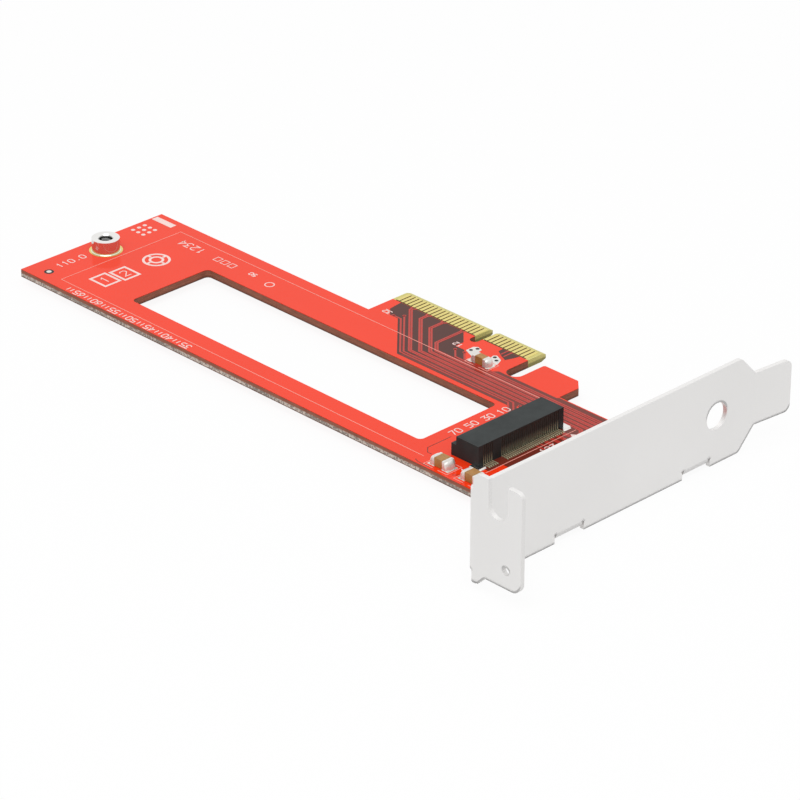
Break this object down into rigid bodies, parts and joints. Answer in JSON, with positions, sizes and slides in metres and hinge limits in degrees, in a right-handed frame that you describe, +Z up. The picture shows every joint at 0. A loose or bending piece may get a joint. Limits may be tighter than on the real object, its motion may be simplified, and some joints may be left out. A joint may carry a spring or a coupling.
{
  "type": "interface card",
  "caption": "Add-in interface card with a keyed card edge, a slot bracket, and a socket and standoff that hold a long storage module over a cut-out in the board.",
  "frame": {"origin": "centre of the key notch, on the tip line of the card edge, in the middle of the board's thickness", "axes": "+X along the board from the bracket to the far end, +Y away from the expansion slot, +Z up from the component side"},
  "size_m": [0.1514, 0.0792, 0.0218],
  "materials": {
    "board_laminate": "glass-epoxy laminate under glossy red solder mask",
    "contact_gold": "copper plated with gold",
    "bracket_steel": "satin plated sheet steel",
    "screw_steel": "plated steel",
    "standoff_tin": "bright tin plate",
    "socket_plastic": "moulded black plastic",
    "spring_gold": "gold-plated spring alloy",
    "capacitor_ceramic": "bare fired ceramic",
    "terminal_tin": "tin plate"
  },
  "bodies": {
    "root": {"circuit_board": "board_laminate", "edge_contacts_component_side": "contact_gold", "edge_contacts_solder_side": "contact_gold", "bracket": "bracket_steel", "bracket_screws": "screw_steel", "module_standoff": "standoff_tin", "standoff_pad": "contact_gold", "socket_housing": "socket_plastic", "socket_upper_contacts": "spring_gold", "socket_lower_contacts": "spring_gold", "socket_hold_downs": "terminal_tin", "capacitor_1_body": "capacitor_ceramic", "capacitor_1_terminals": "terminal_tin", "capacitor_2_body": "capacitor_ceramic", "capacitor_2_terminals": "terminal_tin", "capacitor_3_body": "capacitor_ceramic", "capacitor_3_terminals": "terminal_tin"}
  },
  "joints": []
}
